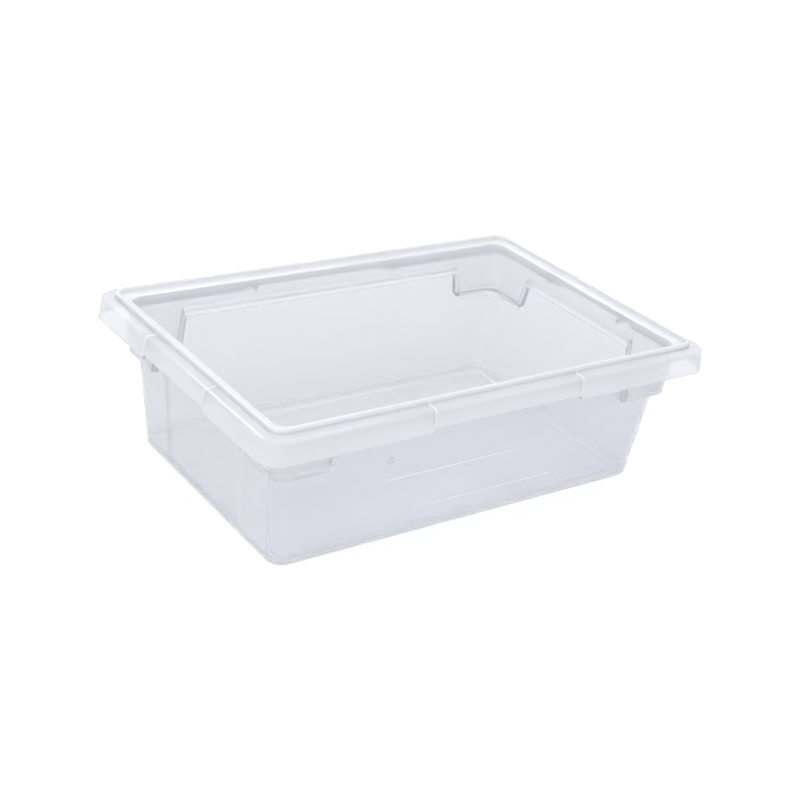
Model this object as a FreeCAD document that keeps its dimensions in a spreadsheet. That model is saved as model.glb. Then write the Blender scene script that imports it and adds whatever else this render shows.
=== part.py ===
import FreeCAD, Part
import os
from FreeCAD import Vector

# Deli food pan: an open, drafted, one-piece polycarbonate food storage box.
# Frame: +X along the length, +Y towards the back, +Z up, origin at the centre of the base.
# The moulding is worked out whole, as an outer form less an inner form, and then divided
# into named regions that meet face to face: floor, walls, corners, lugs and rim.

DIMENSIONS = [
    ("rim_length", 457.2, "length over the lower edge of the skirt"),
    ("rim_width", 304.8, "width over the lower edge of the skirt"),
    ("rim_radius", 19.0, "plan radius of the rim's corners"),
    ("pan_height", 141.5, "base to the top of the lid bead"),
    ("deck_height", 136.8, "base to the top face of the rim deck"),
    ("wall", 3.0, "thickness of the walls, the floor and the rim"),
    ("skirt_bottom", 116.4, "height of the skirt's lower edge near the corners"),
    ("skirt_flare", 2.0, "how far the skirt leans out from the deck to its lower edge"),
    ("skirt_edge", 3.5, "radius between the skirt and the deck"),
    ("grip_bottom", 120.0, "height of the skirt's raised lower edge over the finger grips"),
    ("grip_length", 152.4, "length of the finger grips on the long sides"),
    ("grip_width", 101.6, "length of the finger grips on the short sides"),
    ("base_length", 383.7, "outside length of the tub at the base"),
    ("base_width", 234.1, "outside width of the tub at the base"),
    ("tub_length", 406.4, "outside length of the tub at the skirt's lower edge"),
    ("tub_width", 253.4, "outside width of the tub at the skirt's lower edge"),
    ("tub_radius", 14.7, "plan radius of the tub's outer corners"),
    ("base_edge", 5.0, "radius around the base, outside"),
    ("floor_edge", 4.0, "radius between the floor and the walls, inside"),
    ("collar_inset", 20.8, "skirt's lower edge to the collar's outer face, at the deck"),
    ("collar_draft", 1.0, "how far the collar closes in from the deck to the lug bottoms"),
    ("collar_step", 114.0, "height of the collar's underside between the lugs"),
    ("lug_bottom", 88.0, "height of the underside of the stacking lugs"),
    ("lug_edge", 3.0, "radius around the underside of the lugs"),
    ("lug_gap_length", 302.0, "clear length between the lugs on a long side"),
    ("lug_gap_width", 150.0, "clear length between the lugs on a short side"),
    ("bead_inset", 12.0, "skirt's lower edge to the outer face of the lid bead"),
    ("bead_width", 4.0, "width of the lid bead"),
    ("bead_radius", 13.0, "plan radius of the lid bead's outer corners"),
    ("bead_edge", 1.2, "radius along the top of the lid bead"),
    ("rib_width", 2.0, "thickness of a gusset rib under the rim"),
    ("rib_bottom", 124.0, "height of a gusset rib's lower edge"),
    ("corner_reach", 38.0, "how far a rim corner runs along each side"),
]

SIDES = {"front": -1, "back": 1}
ENDS = {"left": -1, "right": 1}

doc = FreeCAD.newDocument("deli_food_pan")
sheet = doc.addObject("Spreadsheet::Sheet", "dims")
for row, (alias, value, meaning) in enumerate(DIMENSIONS, start=1):
    sheet.set(f"A{row}", alias)
    sheet.set(f"B{row}", str(value))
    sheet.set(f"C{row}", meaning)
    sheet.setAlias(f"B{row}", alias)
doc.recompute()

# Heights and half sizes that several features share, as expressions on the sheet.
SKIRT_TOP = "dims.deck_height - dims.wall"
OPEN_TOP = "dims.pan_height + dims.wall"
LEDGE = "dims.lug_bottom + dims.wall"
GAP_X = "dims.lug_gap_length / 2"
GAP_Y = "dims.lug_gap_width / 2"
OUTSIDE_X = "dims.rim_length / 2 + dims.wall"
OUTSIDE_Y = "dims.rim_width / 2 + dims.wall"
RIM_CORNER_X = "dims.rim_length / 2 - dims.corner_reach"
RIM_CORNER_Y = "dims.rim_width / 2 - dims.corner_reach"
SKIRT_CORNER_X = "dims.rim_length / 2 - dims.rim_radius"
SKIRT_CORNER_Y = "dims.rim_width / 2 - dims.rim_radius"


def level(height, length, width, inset):
    """A rectangle at a height, set in from a length and width all round."""
    return height, f"({length}) / 2 - ({inset})", f"({width}) / 2 - ({inset})"


def drafted_block(body, name, low, high):
    """Block with flat drafted sides between two rectangles, one above the other."""
    block = body.newObject("PartDesign::AdditiveWedge", name)
    block.Placement = FreeCAD.Placement(Vector(0, 0, 0), FreeCAD.Rotation(Vector(1, 0, 0), 90))
    for tier, (height, half_x, half_y) in (("", low), ("2", high)):
        block.setExpression(f"X{tier}min", f"-({half_x})")
        block.setExpression(f"X{tier}max", half_x)
        block.setExpression(f"Z{tier}min", f"-({half_y})")
        block.setExpression(f"Z{tier}max", half_y)
    block.setExpression("Ymin", low[0])
    block.setExpression("Ymax", high[0])
    return block


def round_edges(body, name, base, radius, wanted):
    """Fillet on the edges of a feature whose bounding box is wanted."""
    doc.recompute()
    edges = [f"Edge{n}" for n, edge in enumerate(base.Shape.Edges, start=1) if wanted(edge.BoundBox)]
    feature = body.newObject("PartDesign::Fillet", name)
    feature.Base = (base, edges)
    feature.setExpression("Radius", radius)
    return feature


def upright(bounds):
    return bounds.ZLength > 1.0


def lying_at(height):
    z = float(sheet.evalExpression(height))
    return lambda bounds: abs(bounds.ZMin - z) < 0.01 and abs(bounds.ZMax - z) < 0.01


def form(name, low, high, corner_radius, edge_height, edge_radius):
    """Body with one drafted block, rounded at its four corners and along one level."""
    body = doc.addObject("PartDesign::Body", name)
    block = drafted_block(body, f"{name}_block", low, high)
    rounded = round_edges(body, f"{name}_corners", block, corner_radius, upright)
    round_edges(body, f"{name}_edge", rounded, edge_radius, lying_at(edge_height))
    return body


def box(name, x_range, y_range, z_range):
    """Box between two values on each axis, all given as expressions."""
    block = doc.addObject("Part::Box", name)
    for axis, size, (low, high) in zip("xyz", ("Length", "Width", "Height"), (x_range, y_range, z_range)):
        block.setExpression(f"Placement.Base.{axis}", low)
        block.setExpression(size, f"({high}) - ({low})")
    return block


def boolean(kind, name, base, tool):
    feature = doc.addObject(kind, name)
    feature.Base = base
    feature.Tool = tool
    return feature


def cross(name, half_x, half_y, z_range):
    """Two crossing bars: |x| < half_x from front to back, |y| < half_y from end to end."""
    along = box(f"{name}_long_bar", span(half_x), span(OUTSIDE_Y), z_range)
    across = box(f"{name}_short_bar", span(OUTSIDE_X), span(half_y), z_range)
    return boolean("Part::Fuse", name, along, across)


def span(half):
    return f"-({half})", f"{half}"


def side_range(sign, near, far):
    """Range from near to far of the centre, on the negative or the positive side."""
    if sign < 0:
        return f"-({far})", f"-({near})"
    return near, far


def tub_form(name, inset, floor, collar_low, step, gap_extra, base_edge, lug_edge, radius, top):
    """Tub, collar and lugs as one solid: the outside of the pan, or its cavity when set in."""
    draft = f"dims.collar_inset + dims.collar_draft + {inset}"
    collar = form(f"{name}_collar",
                  level(collar_low, "dims.rim_length", "dims.rim_width", draft),
                  level(top, "dims.rim_length", "dims.rim_width", f"dims.collar_inset + {inset}"),
                  radius, collar_low, lug_edge)
    gaps = cross(f"{name}_gaps", f"{GAP_X} + {gap_extra}", f"{GAP_Y} + {gap_extra}",
                 (f"{collar_low} - dims.wall", step))
    lugged = boolean("Part::Cut", f"{name}_lugged_collar", collar, gaps)
    tub = form(f"{name}_tub",
               level(floor, "dims.base_length", "dims.base_width", inset),
               level("dims.skirt_bottom + dims.wall", "dims.tub_length", "dims.tub_width", inset),
               radius, floor, base_edge)
    return boolean("Part::Fuse", name, tub, lugged)


outside = tub_form("outside", "0", "0", "dims.lug_bottom", "dims.collar_step", "0",
                   "dims.base_edge", "dims.lug_edge", "dims.tub_radius", SKIRT_TOP)
cavity = tub_form("cavity", "dims.wall", "dims.wall", LEDGE, "dims.collar_step + dims.wall",
                  "dims.wall", "dims.floor_edge", "dims.lug_edge / 2",
                  "dims.tub_radius - dims.wall", OPEN_TOP)
tub = boolean("Part::Cut", "tub", outside, cavity)

# The moulding's core lies within the outside of the drafted tub, and its collar and lugs beyond it.
drafted_tub = outside.Base
core = boolean("Part::Common", "core", tub, drafted_tub)
collar = boolean("Part::Cut", "collar", tub, drafted_tub)

rim_block = form("rim_block",
                 level("dims.skirt_bottom", "dims.rim_length", "dims.rim_width", "0"),
                 level("dims.deck_height", "dims.rim_length", "dims.rim_width", "dims.skirt_flare"),
                 "dims.rim_radius", "dims.deck_height", "dims.skirt_edge")
under_rim = form("under_rim",
                 level("dims.skirt_bottom", "dims.rim_length", "dims.rim_width", "dims.wall"),
                 level(SKIRT_TOP, "dims.rim_length", "dims.rim_width", "dims.wall + dims.skirt_flare"),
                 "dims.rim_radius - dims.wall", SKIRT_TOP, "dims.skirt_edge / 3")
rim_shell = boolean("Part::Cut", "rim_shell", rim_block, under_rim)
rim_open = boolean("Part::Cut", "rim_open", rim_shell, cavity)
grips = cross("grips", "dims.grip_length / 2", "dims.grip_width / 2",
              ("dims.skirt_bottom - dims.wall", "dims.grip_bottom"))
rim = boolean("Part::Cut", "rim", rim_open, grips)
groove = boolean("Part::Cut", "groove", under_rim, outside)


def bead_form(name, inset, radius):
    """Upright block on the deck, as far in from the skirt as one face of the lid bead."""
    low = level("dims.deck_height", "dims.rim_length", "dims.rim_width", inset)
    high = level("dims.pan_height", "dims.rim_length", "dims.rim_width", inset)
    body = doc.addObject("PartDesign::Body", name)
    block = drafted_block(body, f"{name}_block", low, high)
    return body, round_edges(body, f"{name}_corners", block, radius, upright)


bead_outer, bead_solid = bead_form("bead_outer", "dims.bead_inset", "dims.bead_radius")
round_edges(bead_outer, "bead_outer_edge", bead_solid, "dims.bead_edge", lying_at("dims.pan_height"))
bead_inner, bead_hole = bead_form("bead_inner", "dims.bead_inset + dims.bead_width",
                                  "dims.bead_radius - dims.bead_width")
bead = boolean("Part::Cut", "bead", bead_outer, bead_inner)

parts = []


def region(label, source, x_range, y_range, z_range):
    """Named region of the moulding: what a box holds of one of its forms."""
    part = boolean("Part::Common", label, source, box(f"{label}_box", x_range, y_range, z_range))
    part.Label = label
    parts.append(part)


def ring(name, source, corner_x, corner_y, z_range):
    """Four straight runs and four corners of a ring around the mouth of the pan."""
    for side, sign in SIDES.items():
        region(f"{side}_{name}", source, span(corner_x), side_range(sign, corner_y, OUTSIDE_Y), z_range)
    for end, sign in ENDS.items():
        region(f"{end}_{name}", source, side_range(sign, corner_x, OUTSIDE_X), span(corner_y), z_range)
    corners(f"{name}_corner", source, corner_x, corner_y, z_range)


def corners(name, source, corner_x, corner_y, z_range):
    for side, side_sign in SIDES.items():
        for end, end_sign in ENDS.items():
            region(f"{side}_{end}_{name}", source, side_range(end_sign, corner_x, OUTSIDE_X),
                   side_range(side_sign, corner_y, OUTSIDE_Y), z_range)


def rib_at(sign, length):
    """The thickness of a rib centred on one end of a finger grip of this length."""
    middle = f"{sign} * {length} / 2"
    return f"{middle} - dims.rib_width / 2", f"{middle} + dims.rib_width / 2"


def ribs():
    """Gusset ribs across the groove under the rim, at both ends of each finger grip."""
    reach = ("dims.rib_bottom", SKIRT_TOP)
    for side, side_sign in SIDES.items():
        for end, end_sign in ENDS.items():
            region(f"{side}_{end}_rib", groove, rib_at(end_sign, "dims.grip_length"),
                   side_range(side_sign, RIM_CORNER_Y, OUTSIDE_Y), reach)
            region(f"{end}_{side}_rib", groove, side_range(end_sign, RIM_CORNER_X, OUTSIDE_X),
                   rib_at(side_sign, "dims.grip_width"), reach)


region("floor_panel", tub, span(OUTSIDE_X), span(OUTSIDE_Y), ("0", "dims.wall"))
for side, sign in SIDES.items():
    region(f"{side}_wall", tub, span(GAP_X), side_range(sign, GAP_Y, OUTSIDE_Y), ("dims.wall", SKIRT_TOP))
for end, sign in ENDS.items():
    region(f"{end}_wall", tub, side_range(sign, GAP_X, OUTSIDE_X), span(GAP_Y), ("dims.wall", SKIRT_TOP))
corners("corner", core, GAP_X, GAP_Y, ("dims.wall", SKIRT_TOP))
corners("lug", collar, GAP_X, GAP_Y, ("dims.lug_bottom", SKIRT_TOP))
ring("deck", rim, RIM_CORNER_X, RIM_CORNER_Y, (SKIRT_TOP, OPEN_TOP))
ring("skirt", rim, SKIRT_CORNER_X, SKIRT_CORNER_Y, ("dims.skirt_bottom", SKIRT_TOP))
ring("bead", bead, RIM_CORNER_X, RIM_CORNER_Y, ("dims.deck_height", "dims.pan_height"))
ribs()
doc.recompute()

for thing in doc.Objects:
    if "Invalid" in thing.State or "Error" in thing.State:
        raise RuntimeError(f"{thing.Label} is {thing.State}")
for part in parts:
    if part.Shape.isNull() or not part.Shape.isValid() or part.Shape.Volume < 1.0:
        raise RuntimeError(f"{part.Label} has no sound shape")

os.makedirs("parts", exist_ok=True)
for part in parts:
    part.Shape.exportStep(f"parts/{part.Label}.step")
    print(part.Label, len(part.Shape.Solids), round(part.Shape.Volume))
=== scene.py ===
"""Deli food pan: one clear polycarbonate moulding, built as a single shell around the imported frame."""

import math

import bpy
import bmesh
import numpy as np
from mathutils import Matrix, Vector


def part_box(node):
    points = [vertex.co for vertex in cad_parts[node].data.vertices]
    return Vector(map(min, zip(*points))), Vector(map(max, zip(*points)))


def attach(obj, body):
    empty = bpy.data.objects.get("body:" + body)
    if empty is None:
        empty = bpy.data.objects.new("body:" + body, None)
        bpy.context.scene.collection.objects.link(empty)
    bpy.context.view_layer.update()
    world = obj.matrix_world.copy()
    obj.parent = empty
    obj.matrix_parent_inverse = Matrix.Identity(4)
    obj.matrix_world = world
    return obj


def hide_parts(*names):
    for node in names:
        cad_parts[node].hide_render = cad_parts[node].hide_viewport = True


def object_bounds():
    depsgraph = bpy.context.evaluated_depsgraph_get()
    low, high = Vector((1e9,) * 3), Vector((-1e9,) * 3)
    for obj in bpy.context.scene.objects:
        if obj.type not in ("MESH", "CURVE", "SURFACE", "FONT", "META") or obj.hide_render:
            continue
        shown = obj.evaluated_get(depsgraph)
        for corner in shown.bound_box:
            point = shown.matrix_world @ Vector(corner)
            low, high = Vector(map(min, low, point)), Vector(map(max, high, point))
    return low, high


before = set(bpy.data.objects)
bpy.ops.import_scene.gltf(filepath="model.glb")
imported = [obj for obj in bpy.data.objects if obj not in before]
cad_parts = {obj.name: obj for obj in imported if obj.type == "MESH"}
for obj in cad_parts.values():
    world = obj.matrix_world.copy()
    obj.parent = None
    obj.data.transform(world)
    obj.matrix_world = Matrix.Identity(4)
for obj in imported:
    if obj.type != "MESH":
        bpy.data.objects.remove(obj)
cad_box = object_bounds()

MM = 0.001

# ---------------------------------------------------------------- sizes, in millimetres


def low(node, axis):
    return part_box(node)[0]["xyz".index(axis)] / MM


def high(node, axis):
    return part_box(node)[1]["xyz".index(axis)] / MM


# Read from the frame.
HALF_RIM = np.array([cad_box[1].x, cad_box[1].y]) / MM
PAN_HEIGHT = cad_box[1].z / MM
DECK = high("front_deck", "z")
WALL = high("floor_panel", "z")
SKIRT_LOW = low("front_left_skirt_corner", "z")
LUG_LOW = low("front_left_lug", "z")
LUG_GAP = -np.array([high("front_left_lug", "x"), high("front_left_lug", "y")])
RIB_LOW = low("front_right_rib", "z")
RIB_HALF = (high("front_right_rib", "x") - low("front_right_rib", "x")) / 2
GRIP_END = np.array([high("front_right_rib", "x"), high("right_back_rib", "y")]) - RIB_HALF

# Of the moulding, as in the part.
HALF_BASE = np.array([191.85, 117.05])  # outside of the tub at the base
HALF_TUB = np.array([203.2, 126.7])  # outside of the tub at TUB_TOP
TUB_TOP = 119.4
GRIP_LOW = 120.0  # the skirt's lower edge over the finger grips
COLLAR_STEP = 114.0  # underside of the collar between the lugs
COLLAR_INSET = 20.8  # the skirt's lower edge to the collar's outer face
COLLAR_DRAFT = 1.0
SKIRT_FLARE = 2.0
BEAD_INSET = 12.0
SHELF = DECK + 0.2  # the ledge between the bead and the mouth
SHOULDER_DROP = 5.0  # the inner shoulder slopes down by this much between the lugs
LUG_SHOULDER_DROP = 3.6
PANEL_HALF = np.array([101.6, 58.5])  # each wall is a little thinner in its middle panel
PANEL_DEPTH = 0.45
RIM_PLAN, TUB_PLAN, BEAD_PLAN = 19.0, 14.7, 13.0  # plan radii of the corners

# Fine raised marks on the front wall.
RULES = {"low_rule": (27.0, -45.0, 90.0), "high_rule": (62.0, -95.0, 40.0)}  # height, ends along X
RULE_HEIGHT = 0.35
RULE_PROFILE = ((-0.8, 0.0), (-0.5, 0.6), (0.0, 1.0), (0.5, 0.6), (0.8, 0.0))
RING_PLACE = (-93.0, 81.0)
RING_RADIUS, RING_WIDTH = 2.9, 1.3

ARC_STEPS = 14  # segments round each corner of the pan
CAP_STEPS = 10  # rings of faces that close the base and the floor, inside the section's ends
CAP_INSET, CAP_PLAN = 26.0, 4.0


# ---------------------------------------------------------------- the section of the moulding


def wall_inset(z, thickness=0.0):
    """How far in from the rim the tub's wall stands at a height, along X and along Y."""
    return HALF_RIM - HALF_BASE - (HALF_TUB - HALF_BASE) * z / TUB_TOP + thickness


def collar_inset(z, thickness=0.0):
    groove = DECK - WALL
    return np.full(2, COLLAR_INSET + thickness + COLLAR_DRAFT * (groove - z) / (groove - LUG_LOW))


def skirt_inset(z, thickness=0.0):
    return np.full(2, thickness + SKIRT_FLARE * (z - SKIRT_LOW) / (DECK - SKIRT_LOW))


def arc(before, at, after, radius, steps):
    """Points of the fillet of a radius between two straight lines that meet at a corner."""
    to_before = (before - at) / np.linalg.norm(before - at)
    to_after = (after - at) / np.linalg.norm(after - at)
    half = math.acos(np.clip(to_before @ to_after, -1, 1)) / 2
    reach = radius / math.tan(half)
    middle = (to_before + to_after) / np.linalg.norm(to_before + to_after)
    centre = at + middle * radius / math.sin(half)
    start = at + to_before * reach - centre
    end = at + to_after * reach - centre
    turn = math.pi - 2 * half
    shares = np.linspace(0, 1, steps + 1)[:, None]
    return centre + (np.sin((1 - shares) * turn) * start + np.sin(shares * turn) * end) / math.sin(turn)


def section(lug_out=0.0, lug_in=0.0, grip=0.0, rib=0.0, panel=0.0, low_rule=0.0, high_rule=0.0):
    """The pan's section as rows of inset along X, inset along Y, height, plan radius and haze with
    painted highlight (whiter, less clear plastic standing in for light caught on the rim and edges).

    It runs from the middle of the base outwards, up the outside, over the rim and down the inside.
    """
    step = LUG_LOW if lug_out else COLLAR_STEP
    ledge = LUG_LOW + WALL if lug_in else COLLAR_STEP + 5.0
    shoulder = ledge - (LUG_SHOULDER_DROP if lug_in else SHOULDER_DROP)
    groove = RIB_LOW if rib else DECK - WALL
    hem = GRIP_LOW if grip else SKIRT_LOW
    panel_top = step - 5.0
    recess = PANEL_DEPTH * panel
    inner_plan = TUB_PLAN - WALL
    rules = []
    for name, raised in (("low_rule", low_rule), ("high_rule", high_rule)):
        middle = RULES[name][0]
        for rise, share in RULE_PROFILE:
            out = RULE_HEIGHT * share * raised
            rules.append((wall_inset(middle + rise) + recess - out, middle + rise, 0, 0, TUB_PLAN,
                          share * raised))
    corners = [
        # inset, height, fillet, fillet steps, plan radius, haze and painted highlight (partly rubbed
        # haze, mostly painted light on the rim and edges)
        (wall_inset(0) + CAP_INSET, 0, 0, 0, CAP_PLAN, 0),
        (wall_inset(0) + 10, 0, 0, 0, TUB_PLAN - 10, 0),
        (wall_inset(0), 0, 5.0, 7, TUB_PLAN, 0.7),
        (wall_inset(9), 9, 0, 0, TUB_PLAN, 0),
        (wall_inset(11) + recess, 11, 0, 0, TUB_PLAN, 0),
        *rules,
        (wall_inset(panel_top - 2) + recess, panel_top - 2, 0, 0, TUB_PLAN, 0),
        (wall_inset(panel_top), panel_top, 0, 0, TUB_PLAN, 0),
        (wall_inset(step), step, 0.9, 3, TUB_PLAN, 0.4),
        (collar_inset(step), step, 3.0 if lug_out else 1.2, 5, TUB_PLAN, 0.7),
        (collar_inset(step + 8), step + 8, 0, 0, TUB_PLAN, 0.2),
        (collar_inset(groove), groove, 1.2, 4, TUB_PLAN, 0.2 + 0.8 * rib),
        (skirt_inset(groove, WALL), groove, 1.8, 5, RIM_PLAN - WALL, 0.3 + 0.7 * rib),
        (skirt_inset(hem, WALL), hem, 0.7, 4, RIM_PLAN - WALL, 0.7),
        (skirt_inset(hem), hem, 1.0, 4, RIM_PLAN, 0.7),
        (skirt_inset(DECK), DECK, 3.5, 8, RIM_PLAN, 0.6 + 0.3 * rib),
        (np.full(2, BEAD_INSET), DECK, 0.8, 3, BEAD_PLAN, 0.6 + 0.3 * rib),
        (np.full(2, BEAD_INSET + 0.3), PAN_HEIGHT, 1.4, 6, BEAD_PLAN, 1),
        (np.full(2, BEAD_INSET + 3.9), PAN_HEIGHT, 1.4, 6, BEAD_PLAN - 3.9, 1),
        (np.full(2, BEAD_INSET + 4.3), SHELF, 0.8, 3, BEAD_PLAN - 4.3, 1),
        (collar_inset(SHELF, WALL), SHELF, 1.8, 6, inner_plan, 1),
        (collar_inset(SHELF - 8, WALL), SHELF - 8, 0, 0, inner_plan, 0.6),
        (collar_inset(ledge, WALL), ledge, 4.0, 5, inner_plan, 0.6),
        (wall_inset(shoulder, WALL), shoulder, 3.0, 5, inner_plan, 0.8),
        (wall_inset(shoulder - 4, WALL), shoulder - 4, 0, 0, inner_plan, 0),
        (wall_inset(WALL + 12, WALL), WALL + 12, 0, 0, inner_plan, 0),
        (wall_inset(WALL, WALL), WALL, 4.5, 7, inner_plan, 0.9),
        (wall_inset(WALL, WALL) + 10, WALL, 0, 0, inner_plan - 10, 0),
        (wall_inset(WALL, WALL) + CAP_INSET, WALL, 0, 0, CAP_PLAN, 0),
    ]
    rows = []
    for i, (inset, z, fillet, steps, plan, haze_and_highlight) in enumerate(corners):
        if not fillet:
            rows.append((inset[0], inset[1], z, plan, haze_and_highlight))
            continue
        fillets = []
        for axis in range(2):
            before, at, after = (
                np.array([corners[j][0][axis], corners[j][1]]) for j in (i - 1, i, i + 1)
            )
            fillets.append(arc(before, at, after, fillet, steps))
        for along_x, along_y in zip(*fillets):
            moved = (along_x[0] + along_y[0] - inset.sum()) / 2
            height = (along_x[1] + along_y[1]) / 2
            rows.append((along_x[0], along_y[0], height, plan - moved, haze_and_highlight))
    return np.array(rows)


# ---------------------------------------------------------------- the shell


def smooth(value, start, end):
    share = min(max((value - start) / (end - start), 0.0), 1.0)
    return share * share * (3 - 2 * share)


LUG_EASE = 2.4  # half the run of a lug's end wall
GRIP_EASE = 0.9
RIB_DRAFT = 0.15
PANEL_EASE = 8.0
RULE_EASE = 0.5
FRONT = 0  # the sides are numbered anticlockwise from the front


def features(place, side):
    """How much of each local feature the section has at a place along a side."""
    axis = side % 2
    at, gap, grip, panel = abs(place), LUG_GAP[axis], GRIP_END[axis], PANEL_HALF[axis]
    rules = {}
    for name, (_, start, end) in RULES.items():
        begun = smooth(place, start - RULE_EASE, start + RULE_EASE)
        ended = smooth(place, end - RULE_EASE, end + RULE_EASE)
        rules[name] = begun - ended if side == FRONT else 0.0
    return rules | {
        "lug_out": smooth(at, gap - LUG_EASE, gap + LUG_EASE),
        "lug_in": smooth(at, gap + WALL - LUG_EASE, gap + WALL + LUG_EASE),
        "grip": 1 - smooth(at, grip - GRIP_EASE, grip + GRIP_EASE),
        "rib": 1 - smooth(abs(at - grip), RIB_HALF, RIB_HALF + RIB_DRAFT),
        "panel": 1 - smooth(at, panel, panel + PANEL_EASE),
    }


def side_places(axis):
    """Where a side has its columns: close together at each feature, and evenly in between."""
    gap, grip, panel = LUG_GAP[axis], GRIP_END[axis], PANEL_HALF[axis]
    near = [
        *np.linspace(gap - LUG_EASE, gap + LUG_EASE, 7),
        *np.linspace(gap + WALL - LUG_EASE, gap + WALL + LUG_EASE, 7),
        *np.linspace(grip - GRIP_EASE, grip + GRIP_EASE, 5),
        *(grip + side * (RIB_HALF + draft) for side in (-1, 1) for draft in (0, RIB_DRAFT)),
        *np.linspace(panel, panel + PANEL_EASE, 3),
    ]
    if axis == 0:
        for _, *ends in RULES.values():
            near.extend(end + ease for end in ends for ease in (-RULE_EASE, 0, RULE_EASE))
    near = sorted(set(np.round([*near, *(-place for place in near)], 4)))
    places = [near[0]]
    for place in near[1:]:
        gaps = max(1, round((place - places[-1]) / 9.0))
        places.extend(np.linspace(places[-1], place, gaps + 1)[1:])
    return places


BASIC = section()
WALL_SLOPE = (HALF_TUB - HALF_BASE)[1] / TUB_TOP
CHANGES = {name: section(**{name: 1.0}) - BASIC
           for name in ("lug_out", "lug_in", "grip", "rib", "panel", *RULES)}


def column_section(weights):
    """The section with each feature's changes, and more of the haze and painted highlight where a feature
    begins or ends, lightening those end walls.
    """
    rows = BASIC + sum(weight * CHANGES[name] for name, weight in weights.items())
    # Painted highlight: raise the haze where a feature's end wall stands, so the end walls render
    # lighter.
    for name, weight in weights.items():
        across_wall = CHANGES[name][:, 1] + WALL_SLOPE * CHANGES[name][:, 2]
        moved = np.clip((np.abs(across_wall) - PANEL_DEPTH) / 2, 0, 1)
        rows[:, 4] = np.maximum(rows[:, 4], min(1.0, 16 * weight * (1 - weight)) * moved)
    return rows


def columns():
    """Every column of the shell's points and their haze and painted highlight, anticlockwise from the
    front left.
    """
    everywhere = []
    corner_rows = column_section({"lug_out": 1.0, "lug_in": 1.0})
    half = HALF_RIM - corner_rows[:, :2]
    plan = corner_rows[:, 3]
    for side in range(4):
        axis = side % 2
        outward = (side - 1) * math.pi / 2
        normal = np.array([round(math.cos(outward)), round(math.sin(outward))])
        along = np.array([-normal[1], normal[0]])
        for place in side_places(axis):
            rows = column_section(features(place, side))
            reach = HALF_RIM[1 - axis] - rows[:, 1 - axis]
            plane = reach[:, None] * normal + place * along
            everywhere.append(np.column_stack([plane, rows[:, 2], rows[:, 4]]))
        centre_sign = normal + along
        for turn in np.linspace(0, math.pi / 2, ARC_STEPS + 1):
            direction = np.array([math.cos(outward + turn), math.sin(outward + turn)])
            plane = centre_sign * (half - plan[:, None]) + plan[:, None] * direction
            everywhere.append(np.column_stack([plane, corner_rows[:, 2], corner_rows[:, 4]]))
    return np.array(everywhere)


def new_object(name, vertices, faces, material, haze_and_painted_highlight=None):
    mesh = bpy.data.meshes.new(name)
    mesh.from_pydata([tuple(v) for v in vertices], [], faces)
    # The per-point share of haze and painted highlight, which the material turns into whiter, less clear
    # plastic.
    if haze_and_painted_highlight is not None:
        mesh.attributes.new("haze_and_painted_highlight", "FLOAT", "POINT").data.foreach_set("value", haze_and_painted_highlight)
    work = bmesh.new()
    work.from_mesh(mesh)
    bmesh.ops.remove_doubles(work, verts=work.verts, dist=1e-6)
    bmesh.ops.recalc_face_normals(work, faces=work.faces)
    work.to_mesh(mesh)
    work.free()
    mesh.shade_smooth()
    mesh.set_sharp_from_angle(angle=math.radians(38))
    piece = bpy.data.objects.new(name, mesh)
    bpy.context.scene.collection.objects.link(piece)
    piece.data.materials.append(material)
    return piece


def closed_in(row, shares):
    """Copies of a flat row of the grid, each drawn in towards the pan's middle by its share."""
    return [row * np.array([share, share, 1, 1]) for share in shares]


def pan_shell(material):
    """The whole moulding as one closed surface: a grid of columns and section rows."""
    points = columns() * np.array([MM, MM, MM, 1])
    shares = np.linspace(0, 1, CAP_STEPS + 1)[:-1]
    base = closed_in(points[:, 0], shares)
    floor = closed_in(points[:, -1], shares[::-1])
    points = np.concatenate([np.stack(base, 1), points, np.stack(floor, 1)], axis=1)
    around, rows = points.shape[:2]
    faces = []
    for column in range(around):
        following = (column + 1) % around
        for row in range(rows - 1):
            faces.append((column * rows + row, following * rows + row,
                          following * rows + row + 1, column * rows + row + 1))
    points = points.reshape(-1, 4)
    shell = new_object("pan_shell", points[:, :3], faces, material, points[:, 3])
    weighted = shell.modifiers.new("even_flats", "WEIGHTED_NORMAL")
    weighted.keep_sharp = True
    return shell


def mould_ring(material):
    """A small raised ring on the front wall, half sunk into it."""
    x, z = RING_PLACE
    foot, top = (np.array([0, wall_inset(height)[1], height]) for height in (z, z + 1))
    up = (top - foot) / np.linalg.norm(top - foot)
    up[1] = -up[1]
    across = np.array([1.0, 0, 0])
    out = np.cross(across, up)
    centre = np.array([x, -HALF_RIM[1] + foot[1] + PANEL_DEPTH, z])
    around, turns = 40, 12
    vertices = []
    for angle in np.linspace(0, 2 * math.pi, around, endpoint=False):
        spoke = math.cos(angle) * across + math.sin(angle) * up
        for turn in np.linspace(0, 2 * math.pi, turns, endpoint=False):
            rim = spoke * (RING_RADIUS + RING_WIDTH / 2 * math.cos(turn))
            vertices.append((centre + rim + out * RULE_HEIGHT * math.sin(turn)) * MM)
    faces = []
    for i in range(around):
        ahead = (i + 1) % around
        for j in range(turns):
            nearby = (j + 1) % turns
            faces.append((i * turns + j, ahead * turns + j, ahead * turns + nearby, i * turns + nearby))
    # The ring takes the full haze and painted highlight, so it reads whiter, as if it caught the light.
    return new_object("mould_ring", vertices, faces, material, np.ones(len(vertices)))


# ---------------------------------------------------------------- material


# Where the haze and painted highlight is full, less light goes through and the tint turns whiter: painted
# light for the highlights on the rim and edges, partly real rubbed haze.
CLEAR, HAZED_HIGHLIGHT = 0.8, 0.42  # share of the light that goes through
CLEAR_TINT, HAZED_HIGHLIGHT_TINT = (0.875, 0.885, 0.93, 1), (0.935, 0.932, 0.962, 1)


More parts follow.
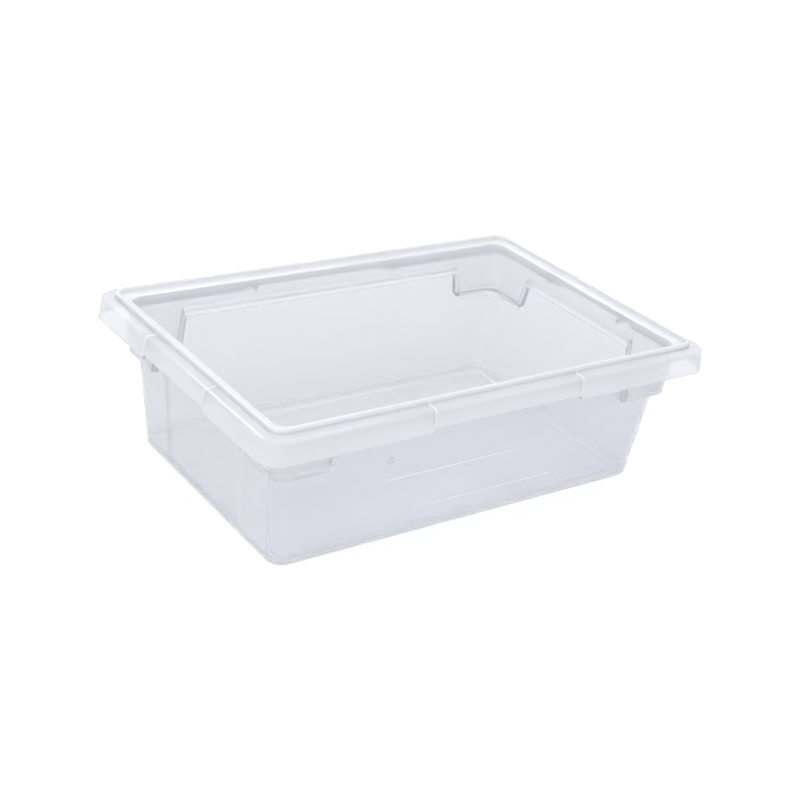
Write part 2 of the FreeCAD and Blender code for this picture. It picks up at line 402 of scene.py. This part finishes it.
def polycarbonate():
    """Clear moulded polycarbonate, whiter and less clear on the rim and the edges: partly rubbed haze,
    mostly a painted highlight standing in for the light those edges catch.
    """
    material = bpy.data.materials.new("clear_polycarbonate")
    material.use_nodes = True
    nodes, links = material.node_tree.nodes, material.node_tree.links
    shader = nodes["Principled BSDF"]
    shader.inputs["IOR"].default_value = 1.58

    place = nodes.new("ShaderNodeTexCoord")

    def noise(scale, detail, stretch=(1, 1, 1)):
        mapping = nodes.new("ShaderNodeMapping")
        mapping.inputs["Scale"].default_value = stretch
        links.new(place.outputs["Object"], mapping.inputs["Vector"])
        texture = nodes.new("ShaderNodeTexNoise")
        texture.inputs["Scale"].default_value = scale
        texture.inputs["Detail"].default_value = detail
        links.new(mapping.outputs["Vector"], texture.inputs["Vector"])
        return texture.outputs["Fac"]

    def mapped(value, from_low, from_high, to_low, to_high):
        node = nodes.new("ShaderNodeMapRange")
        links.new(value, node.inputs["Value"])
        node.inputs["From Min"].default_value = from_low
        node.inputs["From Max"].default_value = from_high
        node.inputs["To Min"].default_value = to_low
        node.inputs["To Max"].default_value = to_high
        return node.outputs["Result"]

    # The haze and painted highlight per point lowers the share of light that goes through and whitens the
    # tint.
    haze_and_painted_highlight = nodes.new("ShaderNodeAttribute")
    haze_and_painted_highlight.attribute_name = "haze_and_painted_highlight"
    links.new(mapped(haze_and_painted_highlight.outputs["Fac"], 0, 1, CLEAR, HAZED_HIGHLIGHT), shader.inputs["Transmission Weight"])
    tint = nodes.new("ShaderNodeMix")
    tint.data_type = "RGBA"
    tint.inputs["A"].default_value = CLEAR_TINT
    tint.inputs["B"].default_value = HAZED_HIGHLIGHT_TINT
    links.new(haze_and_painted_highlight.outputs["Fac"], tint.inputs["Factor"])
    links.new(tint.outputs["Result"], shader.inputs["Base Color"])
    links.new(mapped(noise(22, 6), 0.3, 0.7, 0.04, 0.12), shader.inputs["Roughness"])

    waviness = nodes.new("ShaderNodeBump")
    waviness.inputs["Strength"].default_value = 0.25
    waviness.inputs["Distance"].default_value = 0.0006
    links.new(noise(30, 2), waviness.inputs["Height"])
    scuffs = nodes.new("ShaderNodeBump")
    scuffs.inputs["Strength"].default_value = 0.08
    scuffs.inputs["Distance"].default_value = 0.0001
    links.new(noise(180, 4, (1, 1, 0.12)), scuffs.inputs["Height"])
    links.new(waviness.outputs["Normal"], scuffs.inputs["Normal"])
    links.new(scuffs.outputs["Normal"], shader.inputs["Normal"])
    return material


# ---------------------------------------------------------------- stage, light and camera

STAGE_SIZE = 60.0


def stage():
    """A plain pale floor."""
    material = bpy.data.materials.new("floor")
    material.use_nodes = True
    shader = material.node_tree.nodes["Principled BSDF"]
    shader.inputs["Base Color"].default_value = (0.2, 0.2, 0.2, 1)
    shader.inputs["Emission Color"].default_value = (1, 1, 1, 1)
    shader.inputs["Emission Strength"].default_value = 0.82
    shader.inputs["Roughness"].default_value = 0.9
    shader.inputs["Specular IOR Level"].default_value = 0.1
    half = STAGE_SIZE / 2
    under = -0.0002
    floor = new_object("floor", [(-half, -half, under), (half, -half, under), (half, half, under),
                                 (-half, half, under)], [(0, 1, 2, 3)], material)


def aimed(thing, place, target, roll=0.0):
    back = (Vector(place) - Vector(target)).normalized()
    thing.matrix_world = (Matrix.Translation(place) @ back.to_track_quat("Z", "Y").to_matrix().to_4x4()
                          @ Matrix.Rotation(roll, 4, "Z"))


def softbox(name, place, size, power, tint=(1, 1, 1)):
    lamp = bpy.data.lights.new(name, "AREA")
    lamp.shape = "RECTANGLE"
    lamp.size, lamp.size_y = size
    lamp.energy = power
    lamp.color = tint
    light = bpy.data.objects.new(name, lamp)
    bpy.context.scene.collection.objects.link(light)
    aimed(light, place, (0, 0, 0.05))


def lights():
    """An even pale surround, with large soft boxes above, at the left and at the front."""
    world = bpy.data.worlds.new("studio")
    bpy.context.scene.world = world
    world.use_nodes = True
    background = world.node_tree.nodes["Background"]
    background.inputs["Color"].default_value = (0.985, 0.99, 1.0, 1)
    background.inputs["Strength"].default_value = 1.0
    softbox("key", (-1.4, -0.9, 1.9), (1.4, 0.3), 10, (0.86, 0.92, 1))
    softbox("back", (0.5, 1.6, 1.7), (1.6, 0.3), 8, (1, 0.98, 0.95))
    softbox("top", (0.1, 0, 2.2), (2.0, 2.0), 9)


CAMERA_AZIMUTH = -37.862
CAMERA_ELEVATION = 26.403
CAMERA_ROLL = 7.181
CAMERA_DISTANCE = 1.31194
CAMERA_AIM = Vector((-0.01098, -0.01853, 0.0698))
FOCAL_LENGTH = 66.83


def camera():
    """The product view: from the front left and above, with a slight roll."""
    data = bpy.data.cameras.new("camera")
    data.lens = FOCAL_LENGTH
    data.sensor_width = 36
    view = bpy.data.objects.new("camera", data)
    bpy.context.scene.collection.objects.link(view)
    bpy.context.scene.camera = view
    azimuth, elevation = math.radians(CAMERA_AZIMUTH), math.radians(CAMERA_ELEVATION)
    back = Vector((math.sin(azimuth) * math.cos(elevation),
                   -math.cos(azimuth) * math.cos(elevation), math.sin(elevation)))
    across = Vector((0, 0, 1)).cross(back).normalized()
    upright = Matrix((across, back.cross(across), back)).transposed().to_4x4()
    view.matrix_world = (Matrix.Translation(CAMERA_AIM + back * CAMERA_DISTANCE) @ upright
                         @ Matrix.Rotation(math.radians(CAMERA_ROLL), 4, "Z"))


# ---------------------------------------------------------------- the scene

clear = polycarbonate()
shell = pan_shell(clear)
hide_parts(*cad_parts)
for piece in (shell, mould_ring(clear)):
    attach(piece, "root")
stage()
lights()
camera()
bpy.context.scene.view_settings.view_transform = "Standard"
bpy.context.scene.cycles.max_bounces = 64
bpy.context.scene.cycles.transmission_bounces = 64
bpy.context.scene.cycles.diffuse_bounces = 32
bpy.context.scene.cycles.glossy_bounces = 64
